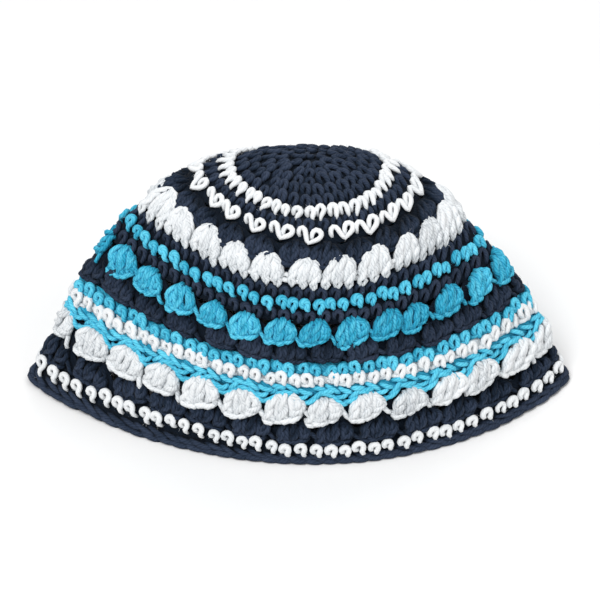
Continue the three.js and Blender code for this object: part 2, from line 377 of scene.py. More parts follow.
class YarnMesh:
    """Gathers strands and bands of cloth into one mesh."""

    def __init__(self, cloth: Cloth, seed: int) -> None:
        """Starts an empty mesh.

        Args:
            cloth: the dome that everything lies on.
            seed: the seed of the small differences between stitches.
        """
        self.cloth = cloth
        self.random = np.random.default_rng(seed)
        self.points: list[Array] = []
        self.faces: list[list[int]] = []
        self.uvs: list[Array] = []
        self.tones: list[Array] = []
        self.depths: list[Array] = []
        self.slots: list[Array] = []
        self.paths: list[tuple[Array, Array, Array, Array]] = []
        self.count = 0

    def add_faces(self, faces: Array, uvs: Array, slot: int) -> None:
        """Adds faces of one size on the points that are added next.

        Args:
            faces: the points of each face, counted from 0.
            uvs: a place in the UV map for each corner of the faces.
            slot: the mesh's material slot.
        """
        self.faces.extend((faces + self.count).tolist())
        self.uvs.append(uvs.reshape(-1, 2))
        self.slots.append(np.full(len(faces), slot))

    def add_points(self, points: Array, tones: float | Array, depths: float | Array) -> None:
        """Adds points, none lower than the floor.

        Args:
            points: the points.
            tones: how much lighter or darker they are.
            depths: how far they lie in shade.
        """
        for kept, values in ((self.tones, tones), (self.depths, depths)):
            kept.append(np.broadcast_to(values, points.shape[:-1]).reshape(-1))
        points = points.reshape(-1, 3)
        points[:, 2] = np.maximum(points[:, 2], 0.0)
        self.points.append(points)
        self.count += len(points)

    def add_row(self, row: StitchRow) -> None:
        """Lays a row of stitches on the cloth.

        Args:
            row: the row.
        """
        pitch = self.cloth.girth(row.share) / row.count
        count, rnd, much = row.count, self.random, row.wobble
        turn = (np.arange(count) + row.phase) / count
        strays = rnd.normal(0.0, 1.0, (STRAYS.size, count, 1)) * STRAYS[:, None, None] * much
        side, drop, out, spin, size = strays
        tone = rnd.normal(0.0, 1.0, count)
        slant = (self.cloth.slant(turn, row.share) - row.lean)[:, None]
        stray = ramp(turn, 0.25, 0.22)
        start = row.share - row.left_rise * np.sin(math.pi * stray)[:, None]
        top = max(point[2] + point[3] for strand in row.strands for point in strand.points)
        for strand in row.strands:
            path = strand.curve()
            bend = rnd.normal(0.0, STRAY_BEND, (count, 3)) * much
            t = np.linspace(0.0, math.pi, strand.steps)
            across = path[None, :, 0] * (1.0 + size)
            down = path[None, :, 1] * (1.0 + size)
            across, down = (
                across - spin * down / pitch + side + bend[:, :1] * np.sin(t) / pitch * 2.0,
                down + spin * across * pitch + drop + bend[:, 1:2] * np.sin(t) * 2.0,
            )
            arch = np.cos(2 * math.pi * (turn[:, None] - across / count) * LOWER_SHELLS)
            down = down / np.sqrt(1.0 + slant**2)
            across = across + slant * down / pitch
            down = down + row.hang * 0.5 * (1.0 - arch)
            lift = path[None, :, 2] + out + bend[:, 2:] * np.sin(t)
            thick = path[:, 3] * (1.0 + rnd.normal(0.0, STRAY_THICK, (count, 1)) * much)
            path = (turn[:, None] - across / count, start + down / self.cloth.meridian, lift, thick)
            self.paths.append(path)
            self.add_tubes(*path, strand.sides, tone, top)

    def add_fuzz(self) -> None:
        """Adds fine loose fibres that stand off the strands."""
        count, longest, thicknesses, sides = 900, 1.2, (0.04, 0.036, 0.03, 0.012), 3
        back_lift, root, reach, sway = -0.8, 0.92, 0.6, 0.7
        rnd = self.random
        flat = [np.concatenate([path[k].ravel() for path in self.paths]) for k in range(4)]
        pick = rnd.integers(0, flat[0].size, count)
        turn, share, lift, thick = (each[pick][:, None] for each in flat)
        start = rnd.normal(0.0, 1.0, (count, 3))
        start[:, 2] = np.where(lift[:, 0] > back_lift, np.abs(start[:, 2]), -np.abs(start[:, 2]))
        start /= np.linalg.norm(start, axis=1, keepdims=True)
        drift = rnd.normal(0.0, 0.8, (count, 3))
        curl = rnd.normal(0.0, 0.5, (count, 3))
        length = rnd.uniform(0.3, 1.0, (count, 1)) * longest
        t = np.linspace(0.0, 1.0, len(thicknesses))[None, :, None]
        way = (start[:, None] * (thick[:, None] * root + length[:, None] * t * reach)
               + (drift[:, None] * t + curl[:, None] * t * t) * length[:, None] * sway)
        self.add_tubes(
            turn - way[..., 0] / self.cloth.girth(share),
            share + way[..., 1] / self.cloth.meridian, lift + way[..., 2],
            np.broadcast_to(np.array(thicknesses), (count, len(thicknesses))), sides,
            rnd.uniform(0.5, 2.0, count), 1.0,
        )

    def add_tubes(self, turn: Array, share: Array, lift: Array,
                  thick: Array, sides: int, tone: Array, top: float) -> None:
        """Adds one closed tube of yarn for each row of the arrays.

        Args:
            turn: turns around the cap, tubes by steps.
            share: shares from the crown to the rim.
            lift: heights out of the middle of the cloth.
            thick: radii of the yarn.
            sides: sides of the tube.
            tone: how much lighter or darker each stitch is.
            top: the height of the row's highest yarn, below which it lies in shade.
        """
        off_axis, longest_start = (0.11, 0.07, 0.13), 40.0
        middle = self.cloth.place(turn, share, lift)
        count, steps = turn.shape
        along = np.gradient(middle, axis=1)
        along /= np.linalg.norm(along, axis=2, keepdims=True)
        out = self.cloth.place(turn[:, 0], share[:, 0], lift[:, 0] + 1.0) - middle[:, 0]
        out += np.array(off_axis)
        angle = np.arange(sides) * 2 * math.pi / sides
        rims = []
        for k in range(steps):
            out = out - np.sum(out * along[:, k], axis=1, keepdims=True) * along[:, k]
            out /= np.linalg.norm(out, axis=1, keepdims=True)
            beside = np.cross(along[:, k], out)
            ring = (out[:, None] * np.cos(angle)[None, :, None]
                    + beside[:, None] * np.sin(angle)[None, :, None])
            rims.append(middle[:, k, None] + ring * thick[:, k, None, None])

        base = (np.arange(count) * steps * sides)[:, None, None]
        k = np.arange(steps - 1)[None, :, None] * sides
        s = np.arange(sides)[None, None, :]
        t = (s + 1) % sides
        faces = quads(base + k + s, base + k + t, base + k + sides + t, base + k + sides + s)
        length = np.concatenate([
            np.zeros((count, 1)),
            np.cumsum(np.linalg.norm(np.diff(middle, axis=1), axis=2), axis=1),
        ], axis=1) + self.random.uniform(0.0, longest_start, (count, 1))
        u0, u1 = length[:, :-1, None], length[:, 1:, None]
        v0, v1 = s / sides, (s + 1) / sides
        corners = [np.broadcast_arrays(u, v) for u, v in ((u0, v0), (u0, v1), (u1, v1), (u1, v0))]
        uvs = np.stack([np.stack(pair, axis=-1) for pair in corners], axis=-2).reshape(-1, 2)
        self.add_faces(faces, uvs, YARN_SLOT)
        end = np.arange(sides)
        ends = np.concatenate([base[:, 0] + end[::-1], base[:, 0] + (steps - 1) * sides + end])
        self.add_faces(ends, np.full((ends.size, 2), 0.5), YARN_SLOT)
        # Painted shade: yarn lying below the top of its row is darkened, more the deeper it lies.
        heights = lift[:, :, None] + thick[:, :, None] * np.cos(angle)
        depths = ramp(top - heights, 0.0, SHADE_DEPTH) ** SHADE_CURVE
        self.add_points(np.stack(rims, axis=1), tone[:, None, None], depths)

    def sheets(self, ground: Ground, turn: Array, share: Array) -> Array:
        """Gives the points of the outer and the inner face of a ground."""
        lifts = (ground.outer, ground.inner)
        return np.stack([self.cloth.place(turn, share, np.full(share.shape, lift)) for lift in lifts])

    def add_ground(self, ground: Ground) -> None:
        """Adds the closed band of cloth behind a round.

        Args:
            ground: the band.
        """
        columns, rows = ground.shells * 8, 4
        turn = np.arange(columns) / columns
        away = np.abs(np.mod(turn * ground.shells - ground.phase + 0.5, 1.0) - 0.5)
        top = ground.top + ground.cut * ramp(away, 0.30, 0.14) / self.cloth.meridian
        blend = np.linspace(0.0, 1.0, rows)[:, None]
        share = top[None, :] * (1 - blend) + ground.bottom * blend
        turns = np.broadcast_to(turn[None, :], share.shape)
        faces = np.concatenate(sheet_faces(rows, columns))
        yarn_girth = 6.0
        flat_share = np.concatenate([share.reshape(-1)] * 2) * self.cloth.meridian
        flat_turn = np.concatenate([turns.reshape(-1)] * 2) * self.cloth.girth(ground.top)
        uvs = np.stack([flat_turn[faces], flat_share[faces] / yarn_girth], axis=-1)
        self.add_faces(faces, uvs, GROUND_SLOT)
        inside = (rows - 1) * columns
        self.slots[-1][inside : 2 * inside] = YARN_SLOT
        # Painted shade: the band gets the darker ground tone and its shade amount.
        self.add_points(self.sheets(ground, turns, share), GROUND_SHADE_TONE, ground.shade)

    def add_disc(self, ground: Ground) -> None:
        """Adds the closed disc of cloth behind the crown.

        Args:
            ground: the disc, from the middle of the crown to its bottom.
        """
        columns, rows, hole = 88, 8, 0.012
        turn = np.broadcast_to(np.arange(columns) / columns, (rows, columns))
        share = np.broadcast_to(np.linspace(hole, ground.bottom, rows)[:, None], (rows, columns))
        both = self.sheets(ground, turn, share)
        points = np.concatenate([both.reshape(-1, 3), both[:, 0].mean(axis=1)])
        faces = np.concatenate(sheet_faces(rows, columns)[:3])
        layer, pole = rows * columns, 2 * rows * columns
        j = np.arange(columns)
        n = (j + 1) % columns
        outer_fan = np.stack([np.full(columns, pole), n, j], axis=1)
        inner_fan = np.stack([np.full(columns, pole + 1), layer + j, layer + n], axis=1)
        fans = np.concatenate([outer_fan, inner_fan])
        around, down = (
            np.concatenate([grid.reshape(-1), grid.reshape(-1), [0.0, 0.0]]) for grid in (turn, share)
        )
        uv_width, uv_height = 90.0, 25.0
        uv = np.stack([around * uv_width, down * uv_height], axis=1)
        self.add_faces(faces, uv[faces], GROUND_SLOT)
        self.add_faces(fans, uv[fans], GROUND_SLOT)
        # Painted shade: the disc gets the darker ground tone and its shade amount.
        self.add_points(points, GROUND_SHADE_TONE, ground.shade)

    def finish(self, name: str, materials: list[Material]) -> bpy.types.Object:
        """Makes the Blender object.

        Args:
            name: its name.
            materials: its materials, the yarn's first.

        Returns:
            The object, at the origin, with its place in its mesh.
        """
        mesh = bpy.data.meshes.new(name)
        mesh.from_pydata(np.concatenate(self.points) * MM, [], self.faces)
        for material in materials:
            mesh.materials.append(material)
        layer = mesh.uv_layers.new(name="yarn")
        layer.data.foreach_set("uv", np.concatenate(self.uvs).astype(np.float32).ravel())
        # tone holds each stitch's lighter or darker tone and the ground's painted shade tone; depth
        # holds painted shade.
        for label, values in (("tone", self.tones), ("depth", self.depths)):
            layer = mesh.attributes.new(label, "FLOAT", "POINT")
            layer.data.foreach_set("value", np.concatenate(values).astype(np.float32))
        mesh.polygons.foreach_set("material_index", np.concatenate(self.slots).astype(np.int32))
        mesh.polygons.foreach_set("use_smooth", np.ones(len(mesh.polygons), dtype=bool))
        mesh.update()
        piece = bpy.data.objects.new(name, mesh)
        bpy.context.collection.objects.link(piece)
        return piece


HOOK = Strand((
    (0.02, 0.5, -1.0, 0.8), (-0.13, 1.0, 0.5, 1.05), (-0.27, 0.2, 1.3, 1.2),
    (-0.28, -1.1, 1.5, 1.25), (-0.14, -2.2, 1.6, 1.3), (0.07, -2.4, 1.6, 1.3),
    (0.23, -1.4, 1.6, 1.3), (0.24, 0.2, 1.6, 1.25), (0.15, 1.6, 1.5, 1.25),
    (0.20, 2.7, 1.1, 1.05), (0.30, 3.6, -0.4, 0.55),
), 16)
NAVY_HOOK = Strand((
    (-0.22, 2.0, -1.6, 0.9), (-0.30, 0.7, -0.2, 1.1), (-0.26, -1.0, 0.6, 1.2),
    (0.00, -2.1, 0.9, 1.2), (0.26, -1.0, 0.9, 1.2), (0.28, 0.6, 0.8, 1.2),
    (0.17, 2.2, 0.5, 1.1), (0.10, 3.4, -0.6, 0.8),
), 11)
LOW_HOOK = Strand((
    (-0.22, 1.8, -2.0, 0.9), (-0.30, 0.5, -0.9, 1.1), (-0.26, -1.1, -0.2, 1.2),
    (0.00, -2.1, 0.1, 1.2), (0.26, -1.0, 0.2, 1.2), (0.28, 0.6, 0.3, 1.2),
    (0.17, 2.2, 0.2, 1.1), (0.10, 3.4, -0.8, 0.8),
), 11)
DRIP = Strand((
    (-0.20, 1.2, -1.2, 0.8), (-0.31, 0.2, 0.5, 1.1), (-0.28, -1.3, 1.3, 1.25),
    (-0.04, -2.3, 1.6, 1.25), (0.21, -1.5, 1.6, 1.25), (0.26, 0.2, 1.6, 1.25),
    (0.13, 1.7, 1.6, 1.2), (0.06, 3.0, 1.4, 0.95), (0.06, 4.1, 0.5, 0.5),
), 13)
HEART = Strand((
    (-0.34, 0.9, -1.0, 0.8), (-0.40, -0.2, 0.6, 1.05), (-0.40, -1.7, 1.3, 1.15),
    (-0.30, -2.6, 1.5, 1.2), (-0.20, -1.7, 1.5, 1.2), (-0.13, 0.2, 1.5, 1.15),
    (-0.06, 2.0, 1.5, 1.1), (0.01, 3.3, 1.5, 0.95), (0.05, 3.2, 1.5, 0.95),
    (0.16, 2.3, 1.5, 1.1), (0.30, 1.1, 1.6, 1.2), (0.37, -0.6, 1.6, 1.2),
    (0.31, -2.1, 1.6, 1.25), (0.18, -2.6, 1.6, 1.25), (0.08, -1.5, 1.5, 1.15),
    (0.06, 0.2, 1.0, 1.0), (0.08, 1.5, -0.2, 0.8),
), 26)
BASE = Strand((
    (-0.62, 1.6, -0.7, 0.9), (-0.2, 2.0, 0.1, 1.1), (0.2, 2.0, 0.1, 1.1),
    (0.62, 1.6, -0.7, 0.9),
), 6)
BACK_BAR = Strand((
    (-0.55, -1.0, -1.5, 0.8), (-0.2, -0.5, -2.0, 0.95), (0.2, 0.5, -2.0, 0.95),
    (0.55, 1.0, -1.5, 0.8),
), 5, 5)
SWAG_HIGH = Strand((
    (-0.55, -2.4, -0.6, 0.8), (-0.30, -2.0, 0.8, 1.0), (0.05, -1.2, 1.2, 1.1),
    (0.38, -0.3, 0.9, 1.0), (0.55, 0.5, -0.4, 0.7),
), 8)
SWAG_MIDDLE = Strand((
    (-0.50, 1.3, -0.6, 0.7), (-0.28, 0.8, 0.7, 0.95), (0.05, 0.0, 1.3, 1.05),
    (0.36, -0.9, 1.0, 0.95), (0.52, -1.6, -0.4, 0.7),
), 8)
SWAG_LOW = Strand((
    (-0.70, 0.6, -0.6, 0.8), (-0.42, 0.9, 0.8, 1.05), (0.00, 1.4, 1.3, 1.2),
    (0.42, 1.9, 0.9, 1.05), (0.70, 2.1, -0.6, 0.8),
), 9)
EDGE_SLANT = Strand((
    (-0.75, -1.1, -1.0, 0.9), (-0.35, -0.7, 0.2, 1.15), (0.1, 0.0, 0.5, 1.25),
    (0.5, 0.6, 0.2, 1.15), (0.75, 1.1, -0.8, 0.9),
), 8)
EDGE_CHAIN = Strand((
    (-0.75, -0.7, -0.6, 0.9), (-0.3, -0.2, 0.5, 1.2), (0.2, 0.0, 0.8, 1.25),
    (0.55, 0.1, 0.2, 1.15), (0.8, 0.0, -1.0, 0.9),
), 8)
EDGE_BACK = Strand((
    (-0.75, 0.0, -1.0, 0.9), (-0.2, 0.1, -1.7, 1.1), (0.3, 0.0, -1.5, 1.1),
    (0.75, -0.3, -0.5, 0.9),
), 6)


@dataclass(frozen=True)
class ShellStitch:
    """A shell: three posts of two wound strands each, fanned out under a round top.

    Lengths are in millimetres and widths in shares of the shell's pitch. Toothed shells
    have an arch over the posts and end in three points. The others stand on a chain that is
    lowest at their left and goes on from their right side to the next shell.
    """

    rise: float
    fall: float
    lift: float
    crest_lift: float
    thick: float
    width: float = 0.41
    foot: float = 0.35
    climb: float = 2.6
    shoulder: float = 0.72
    winding: float = 0.9
    toothed: bool = False

    def edge(self, x: float) -> float:
        """Gives how far down the lower edge lies at a place across the shell."""
        left = max(0.0, -0.2 - x) / 0.22
        return self.fall - self.climb * smooth_ramp(x, -0.08, 0.5) - 0.5 * left * left

    def crest(self, q: float) -> float:
        """Gives how far up the arch reaches at a place across it, from -1 to 1."""
        return math.sqrt(1.0 - self.shoulder * q * q) * self.rise

    def arch(self) -> Strand:
        """Gives the strand that follows the top of the arch, over the ends of the posts.

        Returns:
            The strand, tucked in at both ends.
        """
        t = self.thick
        places = (-1.0, -0.80, -0.45, 0.0, 0.45, 0.80, 1.0)
        middle = [
            (self.width * 0.92 * q, 0.3 - self.crest(q), self.crest_lift - 0.55 - 0.8 * q * q, t)
            for q in places
        ]
        first, last = ((side * self.width, 1.4, -1.8, t * 0.7) for side in (-1, 1))
        return Strand((first, *middle, last), 14)

    def post(self, post: int, half: int) -> Strand:
        """Gives one of the two strands of a post.

        Args:
            post: which post, from -1 at the left to 1 at the right.
            half: which of its strands, -1 or 1.

        Returns:
            The strand, from behind the top to behind the lower edge.
        """
        q = 0.80 * post + 0.20 * half
        wide, middle = self.width * q, self.width * 0.80 * post
        if self.toothed:
            low = post / 3.0 + half * 0.035
            end = self.fall - 0.3 * (1 - half)
            tip, tuck = 0.85, -0.1
            keep, spread = 0.85, 0.05
        else:
            low = self.foot * q - 0.03
            end = self.edge(low)
            tip, tuck = 0.95, -0.8
            keep, spread = 0.4, 0.015
        over = self.winding * half
        away = self.winding * (middle - wide)
        t = self.thick
        crest = self.crest(q)
        high = (self.lift + self.crest_lift) * 0.58
        return Strand((
            (wide * 0.66, 1.8 - crest, -1.8, t * 0.8),
            (wide * 0.70, 0.3 - crest, self.crest_lift - 1.5, t * 0.95),
            (wide * 0.80, 0.9 - crest, self.crest_lift - 0.1, t),
            (wide * 0.95 + away, -crest * 0.44, high + over * 0.6, t * 1.08),
            (wide + away * 1.9, 0.0, self.lift, t * 1.08),
            (keep * wide + (1.0 - keep) * low + away, end * 0.42, self.lift - over * 0.6, t * 1.08),
            (low + half * spread, end - 2.0, self.lift * 0.80, t * 1.05 * tip),
            (low, end - 0.5, self.lift * 0.5, t * 0.85 * tip),
            (low - half * 0.015, end + 0.5, tuck, t * 0.5 * tip),
        ), 13)

    def filling(self, post: int) -> Strand:
        """Gives a thick strand that lies behind the posts.

        Args:
            post: which of the five, from -2 at the left to 2 at the right.

        Returns:
            The strand.
        """
        x = self.width * post * 0.42
        low = self.fall - 2.6 if self.toothed else self.edge(x * 0.85)
        t = self.thick * 1.35
        return Strand((
            (x * 0.7, 1.2 - self.crest(post * 0.42), max(-0.9, self.crest_lift - 1.9), t * 0.9),
            (x * 0.88, -self.crest(post * 0.42) * 0.5, self.crest_lift - 0.7, t * 1.05),
            (x, 0.0, self.lift * 0.55, t * 1.1), (x * 0.92, low - 1.8, self.lift * 0.35, t),
            (x * 0.9, low - 0.6, -0.6, t * 0.8),
        ), 7, 5)

    def chain(self) -> list[Strand]:
        """Gives the chain under the posts and the strand that goes on to the next shell.

        Returns:
            Its four links and that strand.
        """
        t = self.thick
        links = []
        for first, last in ((-0.44, -0.20), (-0.30, -0.04), (-0.12, 0.14), (0.06, 0.34)):
            a, b = self.edge(first), self.edge(last)
            links.append(Strand((
                (first, a - 1.8, -0.4, t * 0.75),
                (first + 0.05, a - 0.6, self.lift * 0.60, t * 0.95),
                ((first + last) / 2, (a + b) / 2 + 0.1, self.lift * 0.9, t * 1.05),
                (last - 0.03, b + 0.1, self.lift * 0.65, t * 0.95),
                (last + 0.03, b - 0.6, -0.2, t * 0.7),
            ), 7))
        low = self.edge(-0.42)
        links.append(Strand((
            (0.28, 0.0, -1.0, t * 0.7),
            (0.39, 1.2, self.lift * 0.35, t * 0.9),
            (0.48, low * 0.55, self.lift * 0.55, t * 0.9),
            (0.56, low * 0.90, self.lift * 0.5, t * 0.85),
            (0.62, low, -0.4, t * 0.6),
        ), 8))
        return links

    def strands(self) -> tuple[Strand, ...]:
        """Gives all the strands of the shell.

        Returns:
            The fillings, the posts, and the arch or the chain.
        """
        parts = [self.filling(post) for post in range(-2, 3)]
        for post in (-1, 0, 1):
            parts += [self.post(post, -1), self.post(post, 1)]
        return tuple(parts + ([self.arch()] if self.toothed else self.chain()))


UPPER_WHITE_SHELL = ShellStitch(
    rise=7.4, fall=6.2, lift=2.0, crest_lift=2.5, thick=1.2, width=0.43, shoulder=0.80,
    toothed=True,
)
LOWER_WHITE_SHELL = ShellStitch(rise=7.0, fall=6.2, lift=2.3, crest_lift=2.7, thick=1.25)
BLUE_SHELL = ShellStitch(rise=6.2, fall=6.0, lift=2.1, crest_lift=2.1, thick=1.05)
NAVY_SHELL = ShellStitch(rise=6.2, fall=4.8, lift=1.6, crest_lift=-0.6, thick=1.1, climb=1.0)


@dataclass(frozen=True)
class CrochetRound:
    """One round of the cap: the CAD node that it dresses, its yarn, rows and ground."""

    node: str
    yarn: Yarn
    rows: tuple[StitchRow, ...]
    ground: Ground
    ground_yarn: Yarn = Yarn.NAVY

    def build(self, cloth: Cloth, finishes: dict[Yarn, Material], seed: int) -> int:
        """Builds and dresses the round.

        Args:
            cloth: the dome.
            finishes: the material of each yarn.
            seed: the seed of its stitches.

        Returns:
            The number of its triangles.
        """
        mesh = YarnMesh(cloth, seed)
        if self.ground.top > 0.0:
            mesh.add_ground(self.ground)
        else:
            mesh.add_disc(self.ground)
        for row in self.rows:
            mesh.add_row(row)
        mesh.add_fuzz()
        piece = mesh.finish(f"{self.node}_yarn", [finishes[self.yarn], finishes[self.ground_yarn]])
        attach(piece, "root")
        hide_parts(self.node)
        return sum(len(polygon.vertices) - 2 for polygon in piece.data.polygons)


def rounds() -> tuple[CrochetRound, ...]:
    """Lists the rounds of the cap.

    Returns:
        The rounds, from the crown to the rim.
    """
    crown, upper, lower = 2 * UPPER_SHELLS, 3 * UPPER_SHELLS, 3 * LOWER_SHELLS
    bar = (BACK_BAR,)
    crown_rows = tuple(
        StitchRow(share, count, (NAVY_HOOK, BACK_BAR), phase, 1.5)
        for share, count, phase in (
            (0.035, 7, 0.2), (0.072, 14, 0.5), (0.108, 21, 0.1), (0.145, 28, 0.4), (0.182, 36, 0.7),
        )
    )
    return (
        CrochetRound("crown_disc", Yarn.NAVY, crown_rows, Ground(0.0, 0.203)),
        CrochetRound("first_white_round", Yarn.WHITE, (
            StitchRow(0.228, crown, (DRIP, BACK_BAR), 0.5, 2.0),
        ), Ground(0.203, 0.243)),
        CrochetRound("crown_navy_round", Yarn.NAVY, (
            StitchRow(0.266, crown, (LOW_HOOK, BACK_BAR)),
        ), Ground(0.243, 0.283)),
        CrochetRound("second_white_round", Yarn.WHITE, (
            StitchRow(0.302, UPPER_SHELLS, (HEART,), 0.62, 1.0),
            StitchRow(0.302, crown, bar),
        ), Ground(0.283, 0.325)),
        CrochetRound("upper_navy_shells", Yarn.NAVY, (
            StitchRow(0.358, UPPER_SHELLS, NAVY_SHELL.strands(), 0.12, 1.3),
            StitchRow(0.352, upper, bar),
        ), Ground(0.325, 0.382, 0.12, 1.0)),
        CrochetRound("upper_white_shells", Yarn.WHITE, (
            StitchRow(0.412, UPPER_SHELLS, UPPER_WHITE_SHELL.strands(), 0.68, 1.4, lean=0.08),
            StitchRow(0.405, upper, (BASE,), 0.0),
            StitchRow(0.416, upper, (BASE,), 0.5),
            StitchRow(0.412, upper, bar),
        ), Ground(0.382, 0.440, 0.68, 2.6)),
        CrochetRound("navy_round_above_dots", Yarn.NAVY, (
            StitchRow(0.464, upper, (LOW_HOOK, BACK_BAR), 0.3),
        ), Ground(0.440, 0.480)),
        CrochetRound("blue_dotted_round", Yarn.BLUE, (
            StitchRow(0.497, upper, (HOOK.raised(0.2, 0.84), BACK_BAR), 0.5, 1.8),
        ), Ground(0.480, 0.516)),
        CrochetRound("navy_round_below_dots", Yarn.NAVY, (
            StitchRow(0.532, upper, (NAVY_HOOK, BACK_BAR), 0.0),
        ), Ground(0.516, 0.556)),
        CrochetRound("blue_shells", Yarn.BLUE, (
            StitchRow(0.580, LOWER_SHELLS, BLUE_SHELL.strands(), 0.12, 2.0, lean=0.10),
            StitchRow(0.588, lower, bar),
        ), Ground(0.556, 0.610, 0.12, 2.6)),
        CrochetRound("middle_navy_shells", Yarn.NAVY, (
            StitchRow(0.640, LOWER_SHELLS, NAVY_SHELL.strands(), 0.82, 1.3),
            StitchRow(0.642, lower, bar),
        ), Ground(0.610, 0.672, 0.62, 1.5)),
        CrochetRound("upper_blue_round", Yarn.BLUE, (
            StitchRow(0.694, lower, (HOOK, BASE, BACK_BAR), 0.5, 2.0),
        ), Ground(0.672, 0.711, shade=0.5), Yarn.BLUE),
        CrochetRound("white_round", Yarn.WHITE, (
            StitchRow(0.727, lower, (HOOK, BASE, BACK_BAR), 0.2, 2.0),
        ), Ground(0.711, 0.745, shade=0.5), Yarn.WHITE),
        CrochetRound("lower_blue_round", Yarn.BLUE, (
            StitchRow(0.762, lower, (SWAG_HIGH,), 0.4, 1.2, 2.0),
            StitchRow(0.764, lower, (SWAG_MIDDLE,), 0.7, 1.6, 3.6),
            StitchRow(0.764, lower, (SWAG_LOW,), 0.0, 1.2, 5.4),
            StitchRow(0.762, lower, bar),
        ), Ground(0.745, 0.787, shade=0.5), Yarn.BLUE),
        CrochetRound("lower_white_shells", Yarn.WHITE, (
            StitchRow(0.828, LOWER_SHELLS, LOWER_WHITE_SHELL.strands(), 0.0, 1.9, lean=0.12),
            StitchRow(0.830, lower, bar),
        ), Ground(0.787, 0.870, 0.0, 1.5)),
        CrochetRound("lower_navy_shells", Yarn.NAVY, (
            StitchRow(0.902, LOWER_SHELLS, NAVY_SHELL.strands(), 0.70, 1.3, left_rise=0.010),
            StitchRow(0.905, lower, bar),
        ), Ground(0.870, 0.936, 0.72, 4.2)),
        CrochetRound("white_dotted_round", Yarn.WHITE, (
            StitchRow(0.953, lower, (HOOK.raised(0.7, 0.86), BACK_BAR), 0.5, 1.7, left_rise=0.017),
        ), Ground(0.936, 0.972)),
        CrochetRound("rim_edging", Yarn.NAVY, (
            StitchRow(0.982, lower, (EDGE_SLANT,), 0.2),
            StitchRow(0.9925, lower, (EDGE_CHAIN, EDGE_BACK), 0.6, 0.6),
        ), Ground(0.972, 0.994)),
    )


def set_inputs(node: Node, **values: object) -> None:
    """Sets inputs of a node, with _ for each space in their names."""
    for name, value in values.items():
        node.inputs[name.replace("_", " ")].default_value = value


def new_group(name: str, inputs: dict[str, float], outputs: tuple[str, ...]) -> NodeTree:
    """Starts a shader node group with plain number sockets.

    Args:
        name: the group's name.
        inputs: the inputs with their usual values.
        outputs: the outputs.

    Returns:
        The group, with an input and an output node.
    """
    group = bpy.data.node_groups.new(name, "ShaderNodeTree")
    for label, value in inputs.items():
        socket = group.interface.new_socket(name=label, in_out="INPUT", socket_type="NodeSocketFloat")
        socket.default_value = value
    for label in outputs:
        group.interface.new_socket(name=label, in_out="OUTPUT", socket_type="NodeSocketFloat")
    group.nodes.new("NodeGroupInput")
    group.nodes.new("NodeGroupOutput")
    return group


@dataclass
class NodeBench:
    """Places and joins nodes in a node tree."""

    tree: NodeTree

    def add(self, kind: str, **values: object) -> Node:
        """Adds a node and sets its properties.

        Args:
            kind: its type.
            **values: its properties.

        Returns:
            The node.
        """
        node = self.tree.nodes.new(kind)
        for key, value in values.items():
            setattr(node, key, value)
        return node

    def join(self, source: NodeSocket, target: NodeSocket) -> None:
        """Links two sockets."""
        self.tree.links.new(source, target)

    def noise(self, scale: float, detail: float,
              place: NodeSocket) -> NodeSocket:
        """Adds a Noise node.

        Args:
            scale: the scale of the noise.
            detail: its detail.
            place: the socket that says where it is read.

        Returns:
            Its output.
        """
        node = self.add("ShaderNodeTexNoise")
        set_inputs(node, Scale=scale, Detail=detail)
        self.join(place, node.inputs["Vector"])
        return node.outputs[0]

    def maths(self, operation: str, *terms: object) -> NodeSocket:
        """Adds a Math node on sockets or numbers.

        Args:
            operation: what it does.
            *terms: its sockets or numbers, in order.

        Returns:
            Its output.
        """
        node = self.add("ShaderNodeMath", operation=operation)
        for socket, term in zip(node.inputs, terms):
            if isinstance(term, (int, float)):
                socket.default_value = term
            else:
                self.join(term, socket)
        return node.outputs[0]


def yarn_twist_group() -> NodeTree:
    """Makes the group that shapes twisted plies and fine fibres on a strand.

    Returns:
        The group. Height feeds a bump, Groove is high between plies and serves as the mask for
        painted shade and extra roughness there, and Mottle varies slowly along the yarn.
    """
    group = new_group(
        "yarn_twist",
        {"Plies": 4.0, "Pitch": 7.0, "Fibre": 0.8},
        ("Height", "Groove", "Mottle"),
    )
    bench = NodeBench(group)
    source, target = group.nodes["Group Input"], group.nodes["Group Output"]
    uv = bench.add("ShaderNodeUVMap", uv_map="yarn")
    split = bench.add("ShaderNodeSeparateXYZ")
    bench.join(uv.outputs[0], split.inputs[0])
    around = bench.maths("MULTIPLY", split.outputs["Y"], source.outputs["Plies"])
    along = bench.maths("DIVIDE", split.outputs["X"], source.outputs["Pitch"])
    twisted = bench.maths("MULTIPLY", along, source.outputs["Plies"])
    loose = bench.noise(0.35, 2.0, uv.outputs[0])
    twisted = bench.maths("MULTIPLY_ADD", loose, 1.6, twisted)
    phase = bench.maths("MULTIPLY", bench.maths("ADD", around, twisted), math.pi)
    ply = bench.maths("POWER", bench.maths("ABSOLUTE", bench.maths("SINE", phase)), 0.6)

    grain = bench.add("ShaderNodeCombineXYZ")
    bench.join(bench.maths("MULTIPLY", split.outputs["X"], 0.8), grain.inputs[0])
    bench.join(bench.maths("MULTIPLY", bench.maths("ADD", around, twisted), 3.0), grain.inputs[1])
    fine = bench.maths("MULTIPLY", bench.noise(2.2, 3.0, grain.outputs[0]), source.outputs["Fibre"])
    bench.join(bench.maths("ADD", ply, fine), target.inputs["Height"])
    # Groove: high in the grooves between plies, the mask for painted shade there.
    groove = bench.maths("POWER", bench.maths("SUBTRACT", 1.0, ply), 1.5)
    bench.join(groove, target.inputs["Groove"])

    place = bench.add("ShaderNodeTexCoord")
    bench.join(bench.noise(380.0, 3.0, place.outputs["Object"]), target.inputs["Mottle"])
    return group


